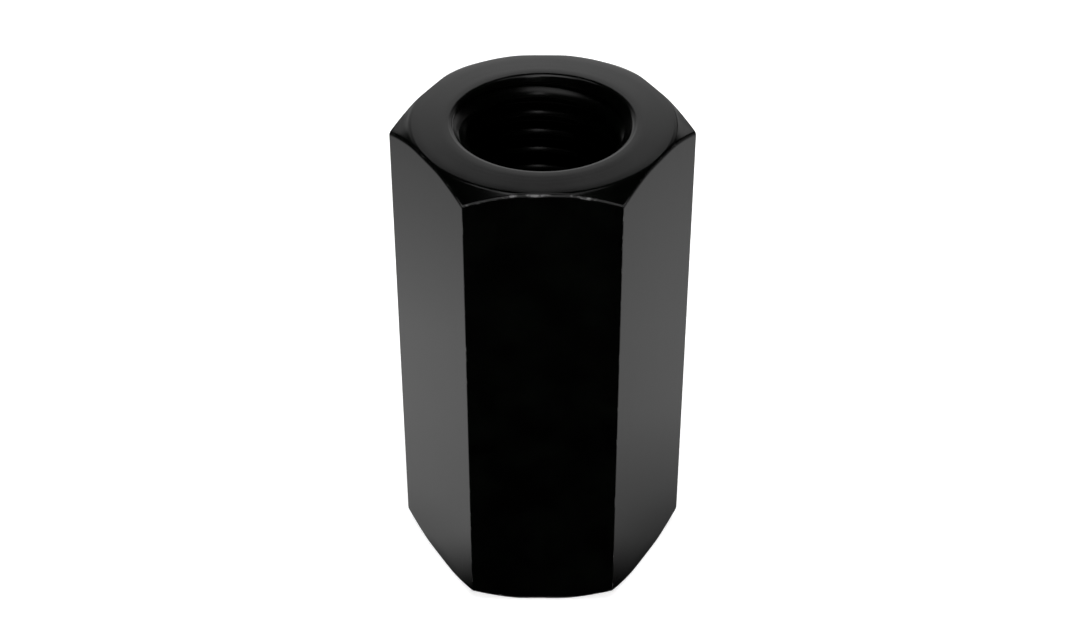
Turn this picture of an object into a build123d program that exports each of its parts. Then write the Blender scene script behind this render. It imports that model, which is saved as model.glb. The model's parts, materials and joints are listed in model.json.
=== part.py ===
from build123d import *

import os
from math import cos, radians, sqrt, tan

# Coupling nut: a long hexagon nut that joins two threaded rods end to end.
# It is one solid piece. Hexagon bar is faced and chamfered at both ends, bored through at
# the thread's minor diameter, and countersunk at both mouths.
# Millimetres. The bore runs along Z, the lower end face lies on Z = 0, and two opposite
# corners of the hexagon point along +X and -X.

# Thread: ISO metric, right-hand, tapped right through. The bore is left plain here, at the
# diameter that the thread's crests reach.
thread_diameter = 16.0
thread_pitch = 2.0

# Hexagon bar, with its six long corners slightly rounded by drawing
across_flats = 24.0
nut_length = 48.0
corner_round = 0.1

# Turned ends: a flat face, then a shallow cone that cuts the corners. The cone starts from
# the circle that touches the six flats, and is blended into the face.
end_chamfer_angle = 30.0
end_rim_round = 0.8

# Countersunk mouths: a little wider than the thread, with the rim rounded over
countersink_oversize = 0.5
countersink_angle = 90.0
mouth_round = 0.7

# The turned profile is drawn past the bar's corners, so that the bar alone limits it there
profile_overrun = 1.0


def thread_minor_diameter():
    """Diameter at the crests of a metric nut thread, five eighths of the triangle deep."""
    triangle_height = thread_pitch * sqrt(3) / 2
    return thread_diameter - 2 * (5 / 8) * triangle_height


def hexagon_bar():
    """The drawn bar, cut to length."""
    with BuildPart() as bar:
        with BuildSketch():
            RegularPolygon(radius=across_flats / 2, side_count=6, major_radius=False)
            fillet(vertices(), corner_round)
        extrude(amount=nut_length)
    return bar.part


def turned_profile():
    """Everything the lathe makes: bore, mouths, end faces and end cones."""
    bore_radius = thread_minor_diameter() / 2
    mouth_radius = (thread_diameter + countersink_oversize) / 2
    rim_radius = across_flats / 2
    outer_radius = across_flats / 2 / cos(radians(30)) + profile_overrun
    mouth_depth = (mouth_radius - bore_radius) / tan(radians(countersink_angle / 2))
    chamfer_depth = (outer_radius - rim_radius) * tan(radians(end_chamfer_angle))

    rounds = {
        (mouth_radius, 0): mouth_round,
        (rim_radius, 0): end_rim_round,
        (rim_radius, nut_length): end_rim_round,
        (mouth_radius, nut_length): mouth_round,
    }
    with BuildPart() as profile:
        with BuildSketch(Plane.XZ) as section:
            with BuildLine():
                Polyline(
                    (bore_radius, mouth_depth),
                    (mouth_radius, 0),
                    (rim_radius, 0),
                    (outer_radius, chamfer_depth),
                    (outer_radius, nut_length - chamfer_depth),
                    (rim_radius, nut_length),
                    (mouth_radius, nut_length),
                    (bore_radius, nut_length - mouth_depth),
                    close=True,
                )
            make_face()
            for (x, y), radius in rounds.items():
                fillet(section.vertices().sort_by_distance((x, y, 0))[0], radius)
        revolve(axis=Axis.Z)
    return profile.part


def coupling_nut():
    """The finished nut: what the bar and the turned profile have in common."""
    return hexagon_bar() & turned_profile()


os.makedirs("parts", exist_ok=True)
export_step(coupling_nut(), "parts/coupling_nut.step")
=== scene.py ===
import json
from math import atan, cos, pi, radians, sin, sqrt, tan

import bmesh
import bpy
import numpy as np
from bpy.props import FloatProperty, FloatVectorProperty, PointerProperty
from bpy.types import Operator, Panel, PropertyGroup
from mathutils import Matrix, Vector


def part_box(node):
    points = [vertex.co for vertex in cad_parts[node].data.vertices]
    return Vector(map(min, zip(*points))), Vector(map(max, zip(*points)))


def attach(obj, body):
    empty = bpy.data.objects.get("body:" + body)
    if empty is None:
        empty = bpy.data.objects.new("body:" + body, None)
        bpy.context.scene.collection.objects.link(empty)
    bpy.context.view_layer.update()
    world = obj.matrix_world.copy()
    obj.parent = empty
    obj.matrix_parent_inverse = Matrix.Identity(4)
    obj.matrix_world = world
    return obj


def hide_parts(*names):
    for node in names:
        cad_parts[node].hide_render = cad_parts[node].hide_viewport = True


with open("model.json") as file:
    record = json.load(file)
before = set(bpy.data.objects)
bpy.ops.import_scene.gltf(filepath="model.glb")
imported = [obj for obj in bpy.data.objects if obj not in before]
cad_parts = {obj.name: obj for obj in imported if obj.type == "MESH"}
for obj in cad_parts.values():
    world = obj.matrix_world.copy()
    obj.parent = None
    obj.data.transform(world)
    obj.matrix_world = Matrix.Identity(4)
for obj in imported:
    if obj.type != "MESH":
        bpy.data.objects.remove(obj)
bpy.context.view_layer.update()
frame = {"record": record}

bl_info = {
    "name": "Coupling Nut",
    "version": (1, 0, 0),
    "blender": (4, 5, 0),
    "location": "3D View > Sidebar > Coupling Nut",
    "description": "Makes a threaded coupling nut in black oxide steel, and a plain studio for it",
    "category": "Add Mesh",
}

NODE = "coupling_nut"

low_corner, high_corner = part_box(NODE)
mounts = {mount["name"]: mount for mount in frame["record"]["mounts"]}


# Sizes and colours that a user would change -------------------------------------------------


class NutSizes(PropertyGroup):
    """Sizes of the nut, in metres."""

    across_flats: FloatProperty(
        name="Across flats",
        description="Distance between two opposite flats",
        default=high_corner.y - low_corner.y,
        unit="LENGTH",
    )
    length: FloatProperty(
        name="Length",
        description="Distance between the two end faces",
        default=high_corner.z - low_corner.z,
        unit="LENGTH",
    )
    minor_radius: FloatProperty(
        name="Minor radius",
        description="Radius at the crests of the thread",
        default=mounts["thread_upper"]["dims"]["r_mm"] / 1000,
        unit="LENGTH",
    )
    pitch: FloatProperty(
        name="Pitch",
        description="Distance from one turn of the thread to the next",
        default=0.002,
        unit="LENGTH",
    )
    thread_start: FloatProperty(
        name="Thread start",
        description="Height of the first crest above the lower end, on the +X side",
        default=0.00166,
        unit="LENGTH",
    )
    crest_break: FloatProperty(
        name="Crest break",
        description="Width of the small bevel on each edge of a thread crest",
        default=0.0001,
        unit="LENGTH",
    )
    corner_round: FloatProperty(
        name="Corner round",
        description="Radius on the six long corners of the bar",
        default=0.0001,
        unit="LENGTH",
    )
    chamfer_angle: FloatProperty(
        name="Chamfer angle",
        description="Slope of the cone that cuts the corners at each end",
        default=radians(32.5),
        subtype="ANGLE",
    )
    rim_round: FloatProperty(
        name="Rim round",
        description="Radius between the end face and the cone",
        default=0.0008,
        unit="LENGTH",
    )
    edge_round: FloatProperty(
        name="Edge round",
        description="Radius between the cone and the flats",
        default=0.00015,
        unit="LENGTH",
    )
    shoulder_round: FloatProperty(
        name="Shoulder round",
        description="Larger radius by which the flats start to turn in below that edge",
        default=0.001,
        unit="LENGTH",
    )
    shoulder_turn: FloatProperty(
        name="Shoulder turn",
        description="How far the flats turn in on that radius",
        default=radians(25),
        subtype="ANGLE",
    )
    mouth_radius: FloatProperty(
        name="Mouth radius",
        description="Radius where the countersink meets the end face",
        default=0.00825,
        unit="LENGTH",
    )
    countersink_angle: FloatProperty(
        name="Countersink angle",
        description="Full angle of the countersink at each mouth",
        default=radians(90),
        subtype="ANGLE",
    )
    mouth_round: FloatProperty(
        name="Mouth round",
        description="Radius on the rim of each mouth",
        default=0.0007,
        unit="LENGTH",
    )


class FinishSettings(PropertyGroup):
    """Colours, gloss and tool marks of the black oxide finish."""

    oxide_colour: FloatVectorProperty(
        name="Oxide colour",
        description="Colour of the black oxide",
        default=(0.0001, 0.0001, 0.0001),
        subtype="COLOR",
        size=3,
    )
    bloom_colour: FloatVectorProperty(
        name="Bloom colour",
        description="Colour of the slightly greyer clouds in the oxide",
        default=(0.0006, 0.0010, 0.0006),
        subtype="COLOR",
        size=3,
    )
    wear_colour: FloatVectorProperty(
        name="Wear colour",
        description="Colour of the bare steel that shows where edges are rubbed",
        default=(0.50, 0.50, 0.50),
        subtype="COLOR",
        size=3,
    )
    # Full wear shows only along the front flat's edges, as a painted highlight line there
    wear: FloatProperty(
        name="Wear",
        description="How much of the edges is rubbed",
        default=0.9,
        min=0.0,
        max=1.0,
        subtype="FACTOR",
    )
    wear_roughness: FloatProperty(
        name="Wear roughness",
        description="How much rougher the rubbed steel is than the oxide",
        default=0.25,
        min=0.0,
        max=0.5,
        subtype="FACTOR",
    )
    roughness: FloatProperty(
        name="Roughness",
        description="Roughness of the oiled oxide surface",
        default=0.18,
        min=0.0,
        max=1.0,
        subtype="FACTOR",
    )
    roughness_spread: FloatProperty(
        name="Roughness spread",
        description="How far the roughness goes up and down in clouds and tool marks",
        default=0.08,
        min=0.0,
        max=0.5,
        subtype="FACTOR",
    )
    dullness: FloatProperty(
        name="Thread dullness",
        description="How much rougher the tapped thread is than the rest",
        default=0.03,
        min=0.0,
        max=0.5,
        subtype="FACTOR",
    )
    thread_gloss: FloatProperty(
        name="Thread gloss",
        description="Strength of the thread's mirror reflection, where 0.5 is the oxide's own",
        default=0.25,
        min=0.0,
        max=1.0,
        subtype="FACTOR",
    )
    ior: FloatProperty(
        name="Index of refraction",
        description="Strength of the surface's mirror reflection",
        default=1.5,
        min=1.0,
        max=2.5,
    )
    drawn_depth: FloatProperty(
        name="Drawn depth",
        description="Depth of the lengthwise streaks on the flats",
        default=0.0000025,
        precision=7,
        unit="LENGTH",
    )
    faced_depth: FloatProperty(
        name="Faced depth",
        description="Depth of the fine rings on the end faces and their cones",
        default=0.0000012,
        precision=7,
        unit="LENGTH",
    )
    chatter_depth: FloatProperty(
        name="Chatter depth",
        description="Depth of the coarser rings in the countersunk mouths",
        default=0.000005,
        precision=7,
        unit="LENGTH",
    )
    tapped_depth: FloatProperty(
        name="Tapped depth",
        description="Depth of the marks that the tap leaves along the thread",
        default=0.000003,
        precision=7,
        unit="LENGTH",
    )
    grain_depth: FloatProperty(
        name="Grain depth",
        description="Depth of the oxide's own fine grain",
        default=0.0000008,
        precision=7,
        unit="LENGTH",
    )


class StageSettings(PropertyGroup):
    """The floor, the lights and the camera."""

    floor_colour: FloatVectorProperty(
        name="Floor colour",
        description="Colour of the pale floor and wall",
        default=(0.86, 0.86, 0.86),
        subtype="COLOR",
        size=3,
    )
    floor_glow: FloatProperty(
        name="Floor glow",
        description="Light given off by the translucent floor itself",
        default=0.7,
        min=0.0,
    )
    overhead_power: FloatProperty(
        name="Overhead power",
        description="Power of the large light overhead, in watts",
        default=6.0,
        min=0.0,
        unit="POWER",
    )
    tent_radius: FloatProperty(
        name="Tent radius",
        description="Radius of the round tent of cards that the nut reflects",
        default=0.5,
        unit="LENGTH",
    )
    tent_height: FloatProperty(
        name="Tent height",
        description="Height of the tent's wall",
        default=0.46,
        unit="LENGTH",
    )
    back_glow: FloatProperty(
        name="Back glow",
        description="Brightness of the tent's panel behind the nut",
        default=0.53,
        min=0.0,
    )
    hot_glow: FloatProperty(
        name="Hot glow",
        description="Extra brightness in the middle of that panel",
        default=0.74,
        min=0.0,
    )
    front_glow: FloatProperty(
        name="Front glow",
        description="Brightness of the tent's half in front of the nut",
        default=0.13,
        min=0.0,
    )
    table_glow: FloatProperty(
        name="Table glow",
        description="Brightness of the floor as the flats reflect it",
        default=1.0,
        min=0.0,
    )
    card_glow: FloatProperty(
        name="Card glow",
        description="Brightness of the broad card straight above the nut",
        default=1.45,
        min=0.0,
    )
    side_card_glow: FloatProperty(
        name="Side card glow",
        description="Brightness of the two small cards high up behind the nut",
        default=1.4,
        min=0.0,
    )
    front_card_glow: FloatProperty(
        name="Front card glow",
        description="Brightness of the small card that glints on the crests of the thread",
        default=3.3,
        min=0.0,
    )
    camera_place: FloatVectorProperty(
        name="Camera place",
        description="Where the camera stands",
        default=(-0.0003, -0.1590, 0.1452),
        subtype="XYZ_LENGTH",
        unit="LENGTH",
        size=3,
    )
    camera_aim: FloatVectorProperty(
        name="Camera aim",
        description="The point that the camera looks at",
        default=(-0.00024, 0.0, 0.0258),
        subtype="XYZ_LENGTH",
        unit="LENGTH",
        size=3,
    )
    camera_lens: FloatProperty(
        name="Camera lens",
        description="Focal length on a 36 mm sensor, in millimetres",
        default=68.9,
        min=1.0,
    )


# The nut's mesh -----------------------------------------------------------------------------

# Numbers of the nut's four finishes, in the order of its materials
FLATS, ENDS, MOUTHS, BORE = range(4)

# Angle that one side of the hexagon takes up round the axis
SIDE_ANGLE = pi / 3

# Slope of a thread's flank, and width of its crest as a share of the pitch
FLANK_ANGLE = pi / 6
CREST_SHARE = 1 / 4

# Depth of the thread as a share of its full sharp triangle. A tap cuts a little deeper than the
# five eighths that the bolt needs.
ROOT_DEPTH = 11 / 16

# How far the thread's rounded root turns to each side of its middle, and its rows of mesh
ROOT_TURN = pi / 3
ROOT_STEPS = 4

# Turns of thread that are drawn past each countersink and then cut off by it
SPARE_TURNS = 2

# Columns of mesh on each flat and on each rounded corner
FLAT_STEPS, CORNER_STEPS = 28, 4

# Rows of mesh on each stretch of an end, from the countersink outwards, and along the flats
MOUTH_STEPS, FACE_STEPS, RIM_STEPS, CONE_STEPS, EDGE_STEPS, SHOULDER_STEPS = 8, 4, 8, 4, 6, 8
WALL_STEPS = 16

# Name of the mesh's record of rubbed edges, and how rubbed the six long corners are
WEAR = "edge_wear"
CORNER_WEAR = 0.15

# The rubbing starts at this row of the edge's round, is strongest between two rows of the
# shoulder, and ends this many rows from there
WEAR_START, WEAR_PEAK, WEAR_REACH = 3, 1.5, 3

# A point is on the countersink when it is this close to it, and two points this close are
# merged, in metres. Faces need three points that differ on a grid of this many lines a metre.
ON_SINK = 1e-8
MERGE_DISTANCE = 2e-7
GRID_PER_METRE = 1e7

# Edges that turn by more than this stay sharp
SHARP_ANGLE = radians(38)

# A weight above 50 gives large faces more say in the normals. Faces whose weights differ by less
# than the threshold have the same say.
NORMAL_WEIGHT = 80
NORMAL_THRESHOLD = 1e-9


def arc(centre, radius, start, end, steps):
    """Points on an arc in a half section, from one angle to another."""
    angles = np.linspace(start, end, steps + 1)
    return [(centre[0] + radius * cos(a), centre[1] + radius * sin(a)) for a in angles]


def bar_outline(sizes):
    """
    Angle and radius of each mesh column round the hexagon, and how far the column lies on a
    rounded corner, where the finish wears.
    """
    half = sizes.across_flats / 2
    half_side = SIDE_ANGLE / 2
    corner_centre = (half - sizes.corner_round) / cos(half_side)
    flat_end = atan(tan(half_side) * (1 - sizes.corner_round / half))
    # The next column stands half a corner's round away from the end of the flat
    beside_corner = flat_end - 0.5 * sizes.corner_round / half
    flat_turns = [-flat_end, *np.linspace(-beside_corner, beside_corner, FLAT_STEPS + 1)]
    angles, radii, wear = [], [], []
    for side in range(6):
        corner = side * SIDE_ANGLE
        for turn in np.linspace(-half_side, half_side, CORNER_STEPS + 1)[:-1]:
            x = corner_centre + sizes.corner_round * cos(turn)
            y = sizes.corner_round * sin(turn)
            angles.append(corner + np.arctan2(y, x))
            radii.append(sqrt(x * x + y * y))
            wear.append(1 - abs(turn) / half_side)
        for turn in flat_turns:
            angles.append(corner + half_side + turn)
            radii.append(half / cos(turn))
            wear.append(0)
    return np.array(angles), np.array(radii), np.array(wear)


def end_profile(sizes, wall_radius):
    """Half section of the upper end, from the countersink outwards to the top of a flat."""
    top = sizes.length
    sink = sizes.countersink_angle / 2
    slope = sizes.chamfer_angle
    steep = pi / 2 - sizes.shoulder_turn
    rim_radius = sizes.across_flats / 2
    mouth_run = sizes.mouth_round * tan((pi / 2 - sink) / 2)
    rim_run = sizes.rim_round * tan(slope / 2)
    mouth_centre = (sizes.mouth_radius + mouth_run, top - sizes.mouth_round)
    rim_centre = (rim_radius - rim_run, top - sizes.rim_round)

    # The edge's round ends on the shoulder's, and starts on the cone or on the rim's round
    excess = sizes.shoulder_round - sizes.edge_round
    edge_radius = wall_radius - sizes.shoulder_round + excess * sin(steep)
    reach = (edge_radius - rim_centre[0]) / (sizes.rim_round - sizes.edge_round)
    if reach >= sin(slope):
        cone_height = top - (edge_radius - rim_radius) * tan(slope)
        edge_centre = (edge_radius, cone_height - sizes.edge_round / cos(slope))
        handover = slope
    else:
        handover = np.arcsin(max(reach, 0))
        drop = (sizes.rim_round - sizes.edge_round) * cos(handover)
        edge_centre = (edge_radius, rim_centre[1] + drop)
    shoulder_centre = (wall_radius - sizes.shoulder_round, edge_centre[1] - excess * cos(steep))

    def rounded(tilt):
        """The point where the surface has turned this far from level."""
        if tilt < handover:
            centre, radius = rim_centre, sizes.rim_round
        elif tilt < steep:
            centre, radius = edge_centre, sizes.edge_round
        else:
            centre, radius = shoulder_centre, sizes.shoulder_round
        return centre[0] + radius * sin(tilt), centre[1] + radius * cos(tilt)

    mouth = arc(mouth_centre, sizes.mouth_round, pi - sink, pi / 2, MOUTH_STEPS)
    rim = [rounded(tilt) for tilt in np.linspace(0, slope, RIM_STEPS, endpoint=False)]
    rim_end = rounded(slope)
    if handover == slope:
        rim_end = (
            rim_centre[0] + sizes.rim_round * sin(slope),
            rim_centre[1] + sizes.rim_round * cos(slope),
        )
    edge = [rounded(tilt) for tilt in np.linspace(slope, steep, EDGE_STEPS, endpoint=False)]
    shoulder = [rounded(tilt) for tilt in np.linspace(steep, pi / 2, SHOULDER_STEPS + 1)]
    face = between(mouth[-1], rim[0], FACE_STEPS)
    cone = between(rim_end, edge[0], CONE_STEPS)
    return mouth + face + rim + [rim_end] + cone + edge + shoulder


def between(start, end, steps):
    """The points that divide a straight line into equal steps, without its ends."""
    return [
        (start[0] + (end[0] - start[0]) * k / steps, start[1] + (end[1] - start[1]) * k / steps)
        for k in range(1, steps)
    ]


def end_wear():
    """How worn each row of the end profile is, from the countersink outwards."""
    before = [0.0] * (MOUTH_STEPS + FACE_STEPS + RIM_STEPS + CONE_STEPS)
    edge = [max(0, step - WEAR_START) / EDGE_STEPS for step in range(EDGE_STEPS)]
    shoulder = [
        max(0, 1 - abs(step - WEAR_PEAK) / WEAR_REACH) for step in range(SHOULDER_STEPS + 1)
    ]
    return np.array(before + edge + shoulder)


def thread_profile(sizes):
    """Height and radius of the thread over one pitch, from the middle of a crest."""
    pitch = sizes.pitch
    depth = ROOT_DEPTH * pitch * sqrt(3) / 2
    crest = sizes.minor_radius
    root = crest + depth
    crest_half = CREST_SHARE * pitch / 2
    root_half = pitch / 2 - crest_half - depth * tan(FLANK_ANGLE)
    root_round = root_half / tan(FLANK_ANGLE)
    bevel = sizes.crest_break / 2

    rising = [
        (crest_half - bevel, crest),
        (crest_half + bevel * sin(FLANK_ANGLE), crest + bevel * cos(FLANK_ANGLE)),
        (crest_half + depth / 2 * tan(FLANK_ANGLE), crest + depth / 2),
    ]
    hollow = [
        (pitch / 2 + root_round * sin(turn), root - root_round + root_round * cos(turn))
        for turn in np.linspace(-ROOT_TURN, ROOT_TURN, ROOT_STEPS + 1)
    ]
    falling = [(pitch - height, radius) for height, radius in reversed(rising)]
    return np.array(rising + hollow + falling)


def bore_grid(sizes, angles, seam_radius, seam_height):
    """
    Height and radius of every point in the bore, which points lie where the thread meets a
    countersink, which lie on a countersink, and the rows in one turn of the thread. Rows follow
    the thread's helix, and where a row has climbed past the mouth's seam it stays on it.
    """
    turn_profile = thread_profile(sizes)
    pitch = sizes.pitch
    lowest = sizes.length - seam_height
    turns = int(np.ceil((seam_height - lowest) / pitch)) + 2 * SPARE_TURNS
    turns_below = np.floor((lowest - sizes.thread_start) / pitch) - SPARE_TURNS
    first = sizes.thread_start + turns_below * pitch
    heights = np.concatenate([first + turn * pitch + turn_profile[:, 0] for turn in range(turns)])
    radii = np.tile(turn_profile[:, 1], turns)

    height = heights[:, None] + pitch * angles[None, :] / (2 * pi)
    thread = np.repeat(radii[:, None], len(angles), axis=1)
    sink_slope = tan(sizes.countersink_angle / 2)

    def sink_radius(level):
        """Radius of the countersink at this height."""
        depth = np.minimum(level, sizes.length - level)
        return sizes.mouth_radius - depth * sink_slope

    sink = sink_radius(height)
    radius = np.maximum(thread, sink)
    creased = np.zeros(height.shape, bool)
    gap = thread - sink

    # Where the thread crosses the countersink, the nearer of two points moves to the crossing
    rows, columns = np.nonzero(gap[:-1] * gap[1:] < 0)
    for row, column in zip(rows, columns):
        before, after = gap[row, column], gap[row + 1, column]
        share = before / (before - after)
        level = height[row, column] * (1 - share) + height[row + 1, column] * share
        moved = row if share < 0.5 else row + 1
        if not creased[moved, column]:
            height[moved, column] = level
            radius[moved, column] = sink_radius(level)
            creased[moved, column] = True

    # Points at the seam with a rounded mouth, or past it, all lie on it
    snap = sizes.crest_break / 2
    above = height > seam_height - snap
    below = height < lowest + snap
    height[above] = seam_height
    height[below] = lowest
    radius[above | below] = seam_radius
    on_sink = radius - sink_radius(height) < ON_SINK
    return height, radius, creased, on_sink, len(turn_profile)


def add_points(mesh, angles, radii, heights):
    """Rows of points round the axis, with one point in each column of the mesh."""
    return [
        [
            mesh.verts.new((radius * cos(angle), radius * sin(angle), height))
            for radius, height, angle in zip(radii_row, heights_row, angles)
        ]
        for radii_row, heights_row in zip(radii, heights)
    ]


def cover_outside(mesh, rows, first_flat_row, last_flat_row):
    """Faces between the rows of points, from the upper countersink to the lower one."""
    columns = len(rows[0])
    last_row = len(rows) - 1
    for row in range(last_row):
        if first_flat_row <= row < last_flat_row:
            zone = FLATS
        elif row < MOUTH_STEPS or row >= last_row - MOUTH_STEPS:
            zone = MOUTHS
        else:
            zone = ENDS
        for column in range(columns):
            following = (column + 1) % columns
            corners = (
                rows[row][column],
                rows[row + 1][column],
                rows[row + 1][following],
                rows[row][following],
            )
            mesh.faces.new(corners).material_index = zone


def cover_bore(mesh, rows, creased, on_sink, rows_per_turn):
    """
    Faces between the rows of points in the bore. The last column meets the first one a turn
    higher up. Faces that the countersink's crease crosses are split along it.
    """
    columns = len(rows[0])
    last_row = len(rows) - 1
    for column in range(columns):
        following = (column + 1) % columns
        climb = rows_per_turn if following == 0 else 0
        for row in range(last_row - climb):
            a, b = (row, column), (row + climb, following)
            c, d = (row + climb + 1, following), (row + 1, column)
            if creased[a] and creased[c]:
                pieces = ((a, b, c), (a, c, d))
            elif creased[b] and creased[d]:
                pieces = ((a, b, d), (b, c, d))
            else:
                pieces = ((a, b, c, d),)
            for corners in pieces:
                points = [rows[r][k] for r, k in corners]
                places = {tuple(round(x * GRID_PER_METRE) for x in p.co) for p in points}
                if len(places) > 2:
                    zone = MOUTHS if all(on_sink[corner] for corner in corners) else BORE
                    mesh.faces.new(points).material_index = zone


def mesh_data(name, mesh):
    """The finished mesh under a name. The working copy is freed."""
    data = bpy.data.meshes.new(name)
    mesh.to_mesh(data)
    mesh.free()
    return data


def nut_mesh(sizes):
    """The whole nut as one closed mesh: flats, turned ends, countersinks and thread."""
    angles, wall_radii, corner_wear = bar_outline(sizes)

    upper = np.array([end_profile(sizes, wall_radius) for wall_radius in wall_radii])
    lower = upper[:, ::-1].copy()
    lower[:, :, 1] = sizes.length - lower[:, :, 1]
    wall = np.array(
        [between(top, bottom, WALL_STEPS) for top, bottom in zip(upper[:, -1], lower[:, 0])]
    )
    shell = np.concatenate([upper, wall, lower], axis=1)
    row_wear = np.concatenate([end_wear(), np.zeros(WALL_STEPS - 1), end_wear()[::-1]])
    first_flat_row = upper.shape[1] - 1 - SHOULDER_STEPS
    last_flat_row = first_flat_row + WALL_STEPS + 2 * SHOULDER_STEPS

    seam_radius, seam_height = upper[0, 0]
    height, radius, creased, on_sink, rows_per_turn = bore_grid(
        sizes, angles, seam_radius, seam_height
    )

    mesh = bmesh.new()
    wear_layer = mesh.verts.layers.float.new(WEAR)
    outside = add_points(mesh, angles, shell[:, :, 0].T, shell[:, :, 1].T)
    inside = add_points(mesh, angles, radius, height)
    for row, points in enumerate(outside):
        on_wall = first_flat_row <= row <= last_flat_row
        for column, point in enumerate(points):
            corner = CORNER_WEAR * corner_wear[column] if on_wall else 0
            point[wear_layer] = max(row_wear[row], corner)
    cover_outside(mesh, outside, first_flat_row, last_flat_row)
    cover_bore(mesh, inside, creased, on_sink, rows_per_turn)

    bmesh.ops.remove_doubles(mesh, verts=mesh.verts, dist=MERGE_DISTANCE)
    loose = [point for point in mesh.verts if not point.link_faces]
    bmesh.ops.delete(mesh, geom=loose, context="VERTS")
    bmesh.ops.recalc_face_normals(mesh, faces=mesh.faces)
    for face in mesh.faces:
        face.smooth = True
    for edge in mesh.edges:
        seam = {face.material_index for face in edge.link_faces} == {MOUTHS, BORE}
        edge.smooth = edge.calc_face_angle() < SHARP_ANGLE and not seam
    return mesh_data("coupling_nut_steel", mesh)


# The finish ---------------------------------------------------------------------------------

# Each noise: waves to the metre, levels of finer detail, and strength of that detail
CLOUDS = (170.0, 4.0, 0.6)
SMEARS = (620.0, 3.0, 0.55)
GRAIN = (7000.0, 2.0, 0.5)
RUBBED_PATCHES = (560.0, 4.0, 0.7)
BROAD_STREAKS = (2300.0, 3.0, 0.5)
FINE_STREAKS = (9000.0, 2.0, 0.5)
RING_NOISE = (1.0, 3.0, 0.5)
NOISE_MIDDLE = 0.5

# Waves along the bar for each wave across it, and how strong the fine streaks are
BROAD_STRETCH, FINE_STRETCH = 0.02, 0.012
FINE_STREAK_SHARE = 0.35

# Rings of each turned surface: how many to the metre outwards, and breaks to the metre along them
FACED_RINGS = (4200.0, 110.0)
CHATTER_RINGS = (4800.0, 420.0)
TAPPED_RINGS = (6500.0, 160.0)

# Soft steps from noise to bloom and to rubbed patches: where each starts and ends, and its
# levels there. The smears are added to the clouds for the bloom, by this share.
BLOOM_STEP = (0.5, 0.86, 0.0, 1.0)
RUBBED_STEP = (0.51, 0.66, 0.07, 1.0)
SMEAR_SHARE = 0.35

# The edges are rubbed fully only on the -Y side, along the front flat, where the bare steel gives
# a bright edge line: partly real wear, partly a painted highlight. From the least wear to all of
# it between these places on Y
HIGHLIGHT_SIDE = (-0.0107, -0.0118)
LEAST_WEAR = 0.03

# Sockets of a Mix node for colours
MIX_SHARE, MIX_FIRST, MIX_SECOND, MIX_RESULT = 0, 6, 7, 2


def add_node(tree, kind, inputs=None, **options):
    """Adds a shader node. Each input is a value, or the output of another node to link."""
    node = tree.nodes.new("ShaderNode" + kind)
    for name, value in options.items():
        setattr(node, name, value)
    for key, value in (inputs or {}).items():
        set_socket(tree, node.inputs[key], value)
    return node


def set_socket(tree, socket, value):
    """Sets a socket to a value, or links it to another node's output."""
    if isinstance(value, bpy.types.NodeSocket):
        tree.links.new(value, socket)
    else:
        socket.default_value = value


def new_material(name):
    """A material with an empty node tree."""
    material = bpy.data.materials.new(name)
    material.use_nodes = True
    material.node_tree.nodes.clear()
    return material, material.node_tree


def own_place(tree):
    """The place on the piece, in the piece's own axes."""
    return add_node(tree, "TexCoord").outputs["Object"]


def axes(tree, place):
    """The x, y and z of a place."""
    return add_node(tree, "SeparateXYZ", {0: place}).outputs


def from_axis(tree, place):
    """The distance of a place from the Z axis, which is also the bore's."""
    level = stretched(tree, place, 1, 0)
    return add_node(tree, "VectorMath", {0: level}, operation="LENGTH").outputs["Value"]


def stretched(tree, place, across, along):
    """The place, scaled across the bore's axis and along it."""
    scale = (across, across, along)
    return add_node(tree, "VectorMath", {0: place, 1: scale}, operation="MULTIPLY").outputs[0]


def math(tree, operation, *values):
    """One Math node."""
    return add_node(tree, "Math", dict(enumerate(values)), operation=operation).outputs[0]


def product(tree, first, *others):
    """All the values multiplied together."""
    for other in others:
        first = math(tree, "MULTIPLY", first, other)
    return first


def ramp(tree, value, start, end, low=0.0, high=1.0):
    """A soft step from low to high as the value goes from start to end."""
    limits = {"From Min": start, "From Max": end, "To Min": low, "To Max": high}
    step = add_node(tree, "MapRange", {"Value": value, **limits}, interpolation_type="SMOOTHSTEP")
    return step.outputs[0]


def noise(tree, place, waves):
    """Noise over a place. The waves are one of the rows above."""
    scale, detail, roughness = waves
    inputs = {"Vector": place, "Scale": scale, "Detail": detail, "Roughness": roughness}
    return add_node(tree, "TexNoise", inputs).outputs[0]


def mix_colour(tree, share, first, second):
    """From one colour to another by a share. A colour is three numbers or a node's output."""
    mix = add_node(tree, "Mix", {MIX_SHARE: share}, data_type="RGBA")
    for socket, colour in ((MIX_FIRST, first), (MIX_SECOND, second)):
        if not isinstance(colour, bpy.types.NodeSocket):
            colour = (*colour, 1)
        set_socket(tree, mix.inputs[socket], colour)
    return mix.outputs[MIX_RESULT]


def drawn_marks(tree, place):
    """Lengthwise streaks, as drawing the bar through its die leaves them."""
    broad = noise(tree, stretched(tree, place, 1, BROAD_STRETCH), BROAD_STREAKS)
    fine = noise(tree, stretched(tree, place, 1, FINE_STRETCH), FINE_STREAKS)
    return math(tree, "MULTIPLY_ADD", fine, FINE_STREAK_SHARE, broad)


def ring_marks(tree, place, rings, breaks):
    """Rings round the axis, so many to the metre, that break up along their length."""
    outwards = math(tree, "MULTIPLY", from_axis(tree, place), rings)
    across = add_node(tree, "CombineXYZ", {"X": outwards}).outputs[0]
    wander = stretched(tree, place, breaks, breaks)
    along = add_node(tree, "VectorMath", {0: wander, 1: across}, operation="ADD").outputs[0]
    return noise(tree, along, RING_NOISE)


def bump(tree, depth, height, normal=None):
    """Relief of so many metres where the height goes from 0 to 1."""
    inputs = {"Distance": depth, "Height": height}
    if normal:
        inputs["Normal"] = normal
    return add_node(tree, "Bump", inputs).outputs[0]


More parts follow.
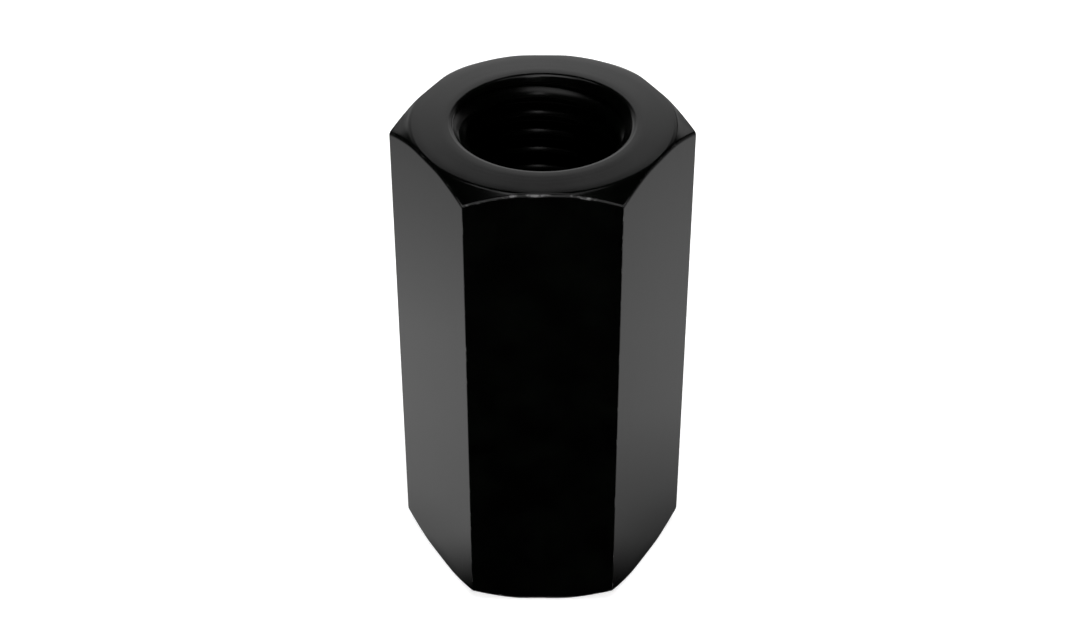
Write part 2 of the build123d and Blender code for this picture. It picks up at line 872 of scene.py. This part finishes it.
def black_oxide(name, finish, depth, rings=None, dullness=0.0, gloss=0.5):
    """
    Oiled black oxide on steel, over the marks that a tool left in the steel: rings where their
    numbers are given, and otherwise the streaks of a drawn bar.
    """
    material, tree = new_material("black_oxide_" + name)
    place = own_place(tree)
    tool = ring_marks(tree, place, *rings) if rings else drawn_marks(tree, place)
    clouds = noise(tree, place, CLOUDS)
    smears = noise(tree, place, SMEARS)
    grain = noise(tree, place, GRAIN)

    # Rubbed bare steel on the edges: real wear in spots, but placed fully only along the front
    # flat, where it is a painted highlight line
    edge = add_node(tree, "Attribute", attribute_name=WEAR).outputs["Fac"]
    patches = ramp(tree, noise(tree, place, RUBBED_PATCHES), *RUBBED_STEP)
    front_highlight = ramp(tree, axes(tree, place)["Y"], *HIGHLIGHT_SIDE, LEAST_WEAR, finish.wear)
    wear = product(tree, edge, patches, front_highlight)

    bloom = ramp(tree, math(tree, "MULTIPLY_ADD", smears, SMEAR_SHARE, clouds), *BLOOM_STEP)
    oxide = mix_colour(tree, bloom, finish.oxide_colour, finish.bloom_colour)
    colour = mix_colour(tree, wear, oxide, finish.wear_colour)

    spread = finish.roughness_spread
    rough = finish.roughness + dullness
    for marks in (clouds, tool):
        offset = math(tree, "SUBTRACT", marks, NOISE_MIDDLE)
        rough = math(tree, "MULTIPLY_ADD", offset, spread, rough)
    rough = math(tree, "MULTIPLY_ADD", wear, finish.wear_roughness, rough)

    tooled = bump(tree, depth, tool)
    grained = bump(tree, finish.grain_depth, grain, tooled)
    steel = add_node(
        tree,
        "BsdfPrincipled",
        {
            "Base Color": colour,
            "Metallic": wear,
            "Roughness": rough,
            "IOR": finish.ior,
            "Specular IOR Level": gloss,
            "Normal": grained,
        },
    )
    add_node(tree, "OutputMaterial", {"Surface": steel.outputs[0]})
    return material


# The stage ----------------------------------------------------------------------------------

# The pale floor, the cove round it and the wall, in metres, and the mesh of floor and cove
FLOOR_RADIUS, COVE_RADIUS, WALL_HEIGHT = 0.9, 0.35, 0.75
FLOOR_RINGS = (0.1, 0.3)
COVE_STEPS = 12

# Light of the tent's wall. Each pair is where a soft step starts and ends. Most are angles in
# degrees, as seen from the tent's middle: up from the level of the nut's top, or round from
# straight behind. Those that are called shares are shares of the tent's radius.

# The panels behind and in front of the nut fade out upwards
PANEL_TOP, FRONT_TOP = (27, 35), (22, 38)

# The panel behind the nut is dimmer at its foot, and so is the hot strip in its middle
PANEL_FOOT, PANEL_FOOT_LIGHT = (0, 20), 0.75
HOT_SIDES = (3, 14)
HOT_FOOT, HOT_FOOT_LIGHT = (12, 28), 0.4

# The panel's edge to each side, and how far it can lean out from left to right, as shares.
# Upwards it leans out between the first angles, and back in to a part of that between the next.
PANEL_EDGE = (0.404, 0.459)
LEAN_STEP = (-0.2, 0.2, 0.16, 0.21)
LEAN_OUT, LEAN_BACK, LEAN_LEFT_OVER = (0, 15), (17, 26), 0.55

# Away from its middle the panel is brighter low down and darker high up. On the right it has a
# slightly brighter strip and then a darker side.
OUTER_SIDES, OUTER_STEP = (13, 22), (15, 19.5)
OUTER_LOW, OUTER_HIGH = 0.2, -0.1
STRIP_START, STRIP_END = (8, 18), (18, 28)
STRIP_LIGHT, RIGHT_LIGHT = 0.1, -0.06

# A dark stripe on the right of the panel leans to the right by this much of its height. It has
# two edges, as shares where it starts from level, shows beyond a place to the right, also a
# share, and ends upwards between two angles.
STRIPE_LEAN = 0.67
STRIPE_START, STRIPE_END = (0.17, 0.21), (0.285, 0.325)
STRIPE_DARKNESS = 0.93
STRIPE_BESIDE, STRIPE_TOP = (0.33, 0.37), (22, 25)

# The panel in front starts and reaches its full light at these places on Y, as shares
FRONT_PLACES = (-0.55, -0.85)

# Light of the tent's floor, a painted reflection of the floor, to the left and right of the nut:
# distance from the axis in metres, and level. The levels drop towards the nut's foot as painted
# shade. The left pool passes into the right one between two places on X.
LEFT_POOL = (
    (0.011, 0.0),
    (0.0125, 0.40),
    (0.018, 0.56),
    (0.030, 0.65),
    (0.045, 0.67),
    (0.065, 0.53),
    (0.088, 0.40),
    (0.12, 0.0),
    (0.3, 0.0),
)
RIGHT_POOL = (
    (0.011, 0.0),
    (0.0125, 0.14),
    (0.018, 0.30),
    (0.030, 0.50),
    (0.045, 0.55),
    (0.065, 0.53),
    (0.088, 0.46),
    (0.13, 0.1),
    (0.3, 0.0),
)
POOL_SEAM = (-0.008, 0.008)

# Light of the floor further away behind the nut: where it ends to each side, as angles round
# from straight behind, where it starts outwards, in metres, and its grey on the left and right
FAR_SIDES, FAR_START = (38, 52), (0.085, 0.12)
FAR_LEFT, FAR_RIGHT = (0.45, 0.45, 0.45), (0.85, 0.85, 0.85)

# The floor's reflection is painted dark in front of the nut, as painted shade. The dark part's
# edge runs forwards from the corners of the front flat at this slope, and the light starts over
# these distances behind it, in metres.
DARK_SLOPE = 1.2
DARK_EDGE = (0.001, 0.016)

# Height of the tent's floor over the pale one, and its first ring of mesh
TENT_FLOOR_HEIGHT, TENT_FLOOR_RING = 0.0003, 0.05

# Height of the round cards over the nut, and for each card its name, place on X and Y, radius,
# the setting for its light, its share of that, and the share of the radius where it starts to fade
CARD_HEIGHT = 0.35
CARDS = (
    ("top_card", (-0.02, 0.01), 0.12, "card_glow", 1.0, 0.4),
    ("glint_card", (0.06, 0.0), 0.04, "card_glow", 1.2, 0.4),
    ("left_card", (-0.11, 0.105), 0.045, "side_card_glow", 1.0, 0.5),
    ("right_card", (0.09, 0.1), 0.035, "side_card_glow", 0.7, 0.5),
    ("front_card", (0.045, -0.1), 0.04, "front_card_glow", 1.0, 0.3),
)
CARD_STEPS = 48

OVERHEAD_SIZE, OVERHEAD_HEIGHT = 1.2, 1.2
SENSOR_WIDTH, CLIP_START = 36, 0.005


def add_object(name, data):
    """An object for this data, in the scene."""
    made = bpy.data.objects.new(name, data)
    bpy.context.scene.collection.objects.link(made)
    return made


def rings_object(name, profile, material, steps=96, closed=True):
    """A surface turned about the axis from a profile. It can be closed in the middle."""
    mesh = bmesh.new()
    turns = [2 * pi * k / steps for k in range(steps)]
    rings = [[mesh.verts.new((r * cos(a), r * sin(a), z)) for a in turns] for r, z in profile]
    if closed:
        mesh.faces.new(rings[0])
    for inner, outer in zip(rings, rings[1:]):
        for k in range(steps):
            mesh.faces.new((inner[k], outer[k], outer[(k + 1) % steps], inner[(k + 1) % steps]))
    bmesh.ops.recalc_face_normals(mesh, faces=mesh.faces)
    for face in mesh.faces:
        face.smooth = True
    data = mesh_data(name, mesh)
    data.materials.append(material)
    return add_object(name, data)


def studio_bowl(stage):
    """A round floor that curves up into a wall."""
    profile = [(radius, 0.0) for radius in FLOOR_RINGS]
    profile += arc((FLOOR_RADIUS, COVE_RADIUS), COVE_RADIUS, -pi / 2, 0, COVE_STEPS)
    profile += [(FLOOR_RADIUS + COVE_RADIUS, WALL_HEIGHT)]
    material, tree = new_material("pale_floor")
    surface = add_node(
        tree,
        "BsdfPrincipled",
        {
            "Base Color": (*stage.floor_colour, 1),
            "Roughness": 1.0,
            "Specular IOR Level": 0.0,
            "Emission Color": (1, 1, 1, 1),
            "Emission Strength": stage.floor_glow,
        },
    )
    add_node(tree, "OutputMaterial", {"Surface": surface.outputs[0]})
    return rings_object("studio_bowl", profile, material)


def reflected_card(name, profile, material, **options):
    """A turned surface that only mirror reflections show."""
    card = rings_object(name, profile, material, **options)
    card.visible_camera = False
    card.visible_diffuse = False
    card.visible_shadow = False
    card.visible_transmission = False
    card.visible_volume_scatter = False
    return card


def add_glow(tree, strength, colour=(1, 1, 1, 1)):
    """Makes the material give off light."""
    glow = add_node(tree, "Emission", {"Color": colour, "Strength": strength})
    add_node(tree, "OutputMaterial", {"Surface": glow.outputs[0]})


def round_ramp(tree, share, angles, low, high):
    """A soft step between two angles round from straight behind, for a share of the radius."""
    start, end = (sin(radians(angle)) for angle in angles)
    return ramp(tree, share, start, end, low, high)


def height_ramp(tree, share, angles, low, high):
    """A soft step between two angles up from level, for a height as a share of the radius."""
    start, end = (tan(radians(angle)) for angle in angles)
    return ramp(tree, share, start, end, low, high)


def panel_width(tree, right, above):
    """The panel's share of light within its leaning edges: 1 inside them and 0 outside."""
    most = ramp(tree, right, *LEAN_STEP)
    out = height_ramp(tree, above, LEAN_OUT, 0.0, most)
    back = height_ramp(tree, above, LEAN_BACK, 1.0, LEAN_LEFT_OVER)
    lean = math(tree, "MINIMUM", out, product(tree, back, most))
    upright = math(tree, "SUBTRACT", math(tree, "ABSOLUTE", right), lean)
    return ramp(tree, upright, *PANEL_EDGE, 1.0, 0.0)


def panel_level(tree, stage, right, above):
    """The panel's light from side to side, without the hot strip."""
    glow = stage.back_glow
    outer = height_ramp(tree, above, OUTER_STEP, glow + OUTER_LOW, glow + OUTER_HIGH)
    level = round_ramp(tree, math(tree, "ABSOLUTE", right), OUTER_SIDES, glow, outer)
    strip_start = round_ramp(tree, right, STRIP_START, 0.0, STRIP_LIGHT)
    strip_end = round_ramp(tree, right, STRIP_END, STRIP_LIGHT, RIGHT_LIGHT)
    return math(tree, "ADD", math(tree, "MINIMUM", strip_start, strip_end), level)


def dark_stripe(tree, right, above):
    """The share of light that the dark stripe takes away."""
    upright = math(tree, "MULTIPLY_ADD", above, -STRIPE_LEAN, right)
    return product(
        tree,
        ramp(tree, upright, *STRIPE_START),
        ramp(tree, upright, *STRIPE_END, STRIPE_DARKNESS, 0.0),
        ramp(tree, right, *STRIPE_BESIDE),
        height_ramp(tree, above, STRIPE_TOP, 1.0, 0.0),
    )


def back_panel(tree, stage, right, above):
    """Light of the panel behind the nut, up to the angle that the end face reflects."""
    cards = product(
        tree,
        panel_width(tree, right, above),
        panel_level(tree, stage, right, above),
        math(tree, "SUBTRACT", 1.0, dark_stripe(tree, right, above)),
    )
    side = math(tree, "ABSOLUTE", right)
    hot = product(
        tree,
        round_ramp(tree, side, HOT_SIDES, stage.hot_glow, 0.0),
        height_ramp(tree, above, HOT_FOOT, HOT_FOOT_LIGHT, 1.0),
    )
    return product(
        tree,
        math(tree, "ADD", cards, hot),
        height_ramp(tree, above, PANEL_FOOT, PANEL_FOOT_LIGHT, 1.0),
        height_ramp(tree, above, PANEL_TOP, 1.0, 0.0),
    )


def tent_wall(stage, top):
    """The round wall of cards: a bright panel behind the nut, and a dim one in front of it."""
    radius = stage.tent_radius
    material, tree = new_material("tent_wall_glow")
    x, y, z = axes(tree, own_place(tree))
    right = math(tree, "DIVIDE", x, radius)
    towards_back = math(tree, "DIVIDE", y, radius)
    above = math(tree, "DIVIDE", math(tree, "SUBTRACT", z, top), radius)
    behind = math(tree, "GREATER_THAN", y, 0.0)
    back = product(tree, back_panel(tree, stage, right, above), behind)
    front = ramp(tree, towards_back, *FRONT_PLACES, 0.0, stage.front_glow)
    front_fade = height_ramp(tree, above, FRONT_TOP, 1.0, 0.0)
    add_glow(tree, math(tree, "MULTIPLY_ADD", front, front_fade, back))
    profile = [(radius, 0.0), (radius, stage.tent_height)]
    return reflected_card("tent_wall", profile, material, closed=False)


def light_pool(tree, distance, stops):
    """Light by distance, in straight lines from one stop to the next."""
    pool = tree.nodes.new("ShaderNodeValToRGB")
    elements = pool.color_ramp.elements
    reach = stops[-1][0]
    # A new ramp has two stops. All of them get their places and levels below.
    while len(elements) < len(stops):
        elements.new(1.0)
    for element, (place, level) in zip(elements, stops):
        element.position = place / reach
        element.color = (level, level, level, 1)
    tree.links.new(math(tree, "DIVIDE", distance, reach), pool.inputs["Fac"])
    return pool.outputs["Color"]


def tent_floor(stage, sizes):
    """A painted reflection of the floor: a pool of light round the foot, painted shade close to
    the foot, and a front painted dark.
    """
    material, tree = new_material("tent_floor_glow")
    place = own_place(tree)
    distance = from_axis(tree, place)
    x, y, _ = axes(tree, place)
    aside = math(tree, "ABSOLUTE", x)
    right = ramp(tree, x, *POOL_SEAM)
    left_pool = light_pool(tree, distance, LEFT_POOL)
    right_pool = light_pool(tree, distance, RIGHT_POOL)
    near = mix_colour(tree, right, left_pool, right_pool)
    far = mix_colour(tree, right, FAR_LEFT, FAR_RIGHT)
    behind = product(
        tree,
        round_ramp(tree, math(tree, "DIVIDE", aside, distance), FAR_SIDES, 1.0, 0.0),
        math(tree, "GREATER_THAN", y, 0.0),
        ramp(tree, distance, *FAR_START),
    )

    front_edge = -sizes.across_flats / 2
    corner = sizes.across_flats / 2 * tan(SIDE_ANGLE / 2)
    beside_corner = math(tree, "SUBTRACT", aside, corner)
    from_front = math(tree, "SUBTRACT", y, front_edge)
    from_dark = math(tree, "MULTIPLY_ADD", beside_corner, DARK_SLOPE, from_front)
    lit = ramp(tree, from_dark, *DARK_EDGE, 0.0, stage.table_glow)
    add_glow(tree, lit, mix_colour(tree, behind, near, far))
    profile = [(radius, TENT_FLOOR_HEIGHT) for radius in (TENT_FLOOR_RING, stage.tent_radius)]
    return reflected_card("tent_floor", profile, material)


def light_card(name, place, radius, strength, soft):
    """A round card that faces down. Its light fades outwards from this share of its radius."""
    material, tree = new_material(name + "_glow")
    distance = from_axis(tree, own_place(tree))
    add_glow(tree, ramp(tree, distance, soft * radius, radius, strength, 0.0))
    card = reflected_card(name, [(radius, 0.0)], material, steps=CARD_STEPS)
    card.location = place
    return card


def aim(thing, target):
    """Turns a card or the camera towards a point."""
    direction = Vector(target) - thing.location
    thing.rotation_euler = direction.to_track_quat("-Z", "Y").to_euler()


def add_overhead(stage):
    """The large soft light overhead, which lights the floor and shows in no reflection."""
    data = bpy.data.lights.new("overhead_light", "AREA")
    data.shape = "DISK"
    data.size = OVERHEAD_SIZE
    data.energy = stage.overhead_power
    light = add_object("overhead_light", data)
    light.location = (0, 0, OVERHEAD_HEIGHT)
    light.visible_glossy = False
    light.visible_camera = False


def dark_world():
    """A black world, so that the nut reflects only the tent and the cards."""
    world = bpy.data.worlds.new("studio_dark")
    world.use_nodes = True
    world.node_tree.nodes["Background"].inputs["Color"].default_value = (0, 0, 0, 1)
    return world


def add_camera(stage):
    """The camera in its place, aimed at the nut."""
    data = bpy.data.cameras.new("camera")
    data.lens = stage.camera_lens
    data.sensor_width = SENSOR_WIDTH
    data.clip_start = CLIP_START
    camera = add_object("camera", data)
    camera.location = stage.camera_place
    aim(camera, stage.camera_aim)
    return camera


# Operators ----------------------------------------------------------------------------------


class COUPLINGNUT_OT_add_nut(Operator):
    """Make the threaded nut with its black oxide finish"""

    bl_idname = "coupling_nut.add_nut"
    bl_label = "Add Nut"

    def execute(self, context):
        finish = context.scene.nut_finish
        thread = (finish.dullness, finish.thread_gloss)
        nut = add_object("threaded_nut", nut_mesh(context.scene.nut_sizes))
        for material in (
            black_oxide("drawn_flats", finish, finish.drawn_depth),
            black_oxide("turned_ends", finish, finish.faced_depth, FACED_RINGS),
            black_oxide("sunk_mouths", finish, finish.chatter_depth, CHATTER_RINGS),
            black_oxide("tapped_bore", finish, finish.tapped_depth, TAPPED_RINGS, *thread),
        ):
            nut.data.materials.append(material)

        # Large faces have more say in the normals, so that flat surfaces look flat up to their
        # rounded edges
        smooth = nut.modifiers.new("even_normals", "WEIGHTED_NORMAL")
        smooth.keep_sharp = True
        smooth.weight = NORMAL_WEIGHT
        smooth.thresh = NORMAL_THRESHOLD
        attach(nut, "root")
        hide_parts(NODE)
        return {"FINISHED"}


class COUPLINGNUT_OT_set_stage(Operator):
    """Make the pale floor, the soft lights and the camera"""

    bl_idname = "coupling_nut.set_stage"
    bl_label = "Set Stage"

    def execute(self, context):
        scene = context.scene
        stage = scene.nut_stage
        scene.view_settings.view_transform = "Standard"

        top = scene.nut_sizes.length
        for name, (x, y), radius, glow, share, soft in CARDS:
            place = (x, y, top + CARD_HEIGHT)
            card = light_card(name, place, radius, getattr(stage, glow) * share, soft)
            aim(card, (0, 0, top))
        studio_bowl(stage)
        tent_wall(stage, top)
        tent_floor(stage, scene.nut_sizes)
        add_overhead(stage)
        scene.world = dark_world()
        scene.camera = add_camera(stage)
        return {"FINISHED"}


class COUPLINGNUT_PT_sidebar(Panel):
    """The nut's sizes and finish, and the stage"""

    bl_label = "Coupling Nut"
    bl_space_type = "VIEW_3D"
    bl_region_type = "UI"
    bl_category = "Coupling Nut"

    def draw(self, context):
        layout = self.layout
        for group in ("nut_sizes", "nut_finish", "nut_stage"):
            box = layout.box()
            settings = getattr(context.scene, group)
            for name in settings.__annotations__:
                box.prop(settings, name)
        layout.operator(COUPLINGNUT_OT_add_nut.bl_idname)
        layout.operator(COUPLINGNUT_OT_set_stage.bl_idname)


CLASSES = (
    NutSizes,
    FinishSettings,
    StageSettings,
    COUPLINGNUT_OT_add_nut,
    COUPLINGNUT_OT_set_stage,
    COUPLINGNUT_PT_sidebar,
)


def register():
    """Adds the settings, operators and panel to Blender."""
    for item in CLASSES:
        bpy.utils.register_class(item)
    bpy.types.Scene.nut_sizes = PointerProperty(type=NutSizes)
    bpy.types.Scene.nut_finish = PointerProperty(type=FinishSettings)
    bpy.types.Scene.nut_stage = PointerProperty(type=StageSettings)


def unregister():
    """Takes them out again."""
    del bpy.types.Scene.nut_stage
    del bpy.types.Scene.nut_finish
    del bpy.types.Scene.nut_sizes
    for item in reversed(CLASSES):
        bpy.utils.unregister_class(item)


def main():
    """Makes the nut and its stage."""
    register()
    bpy.ops.coupling_nut.add_nut()
    bpy.ops.coupling_nut.set_stage()


if __name__ == "__main__":
    main()
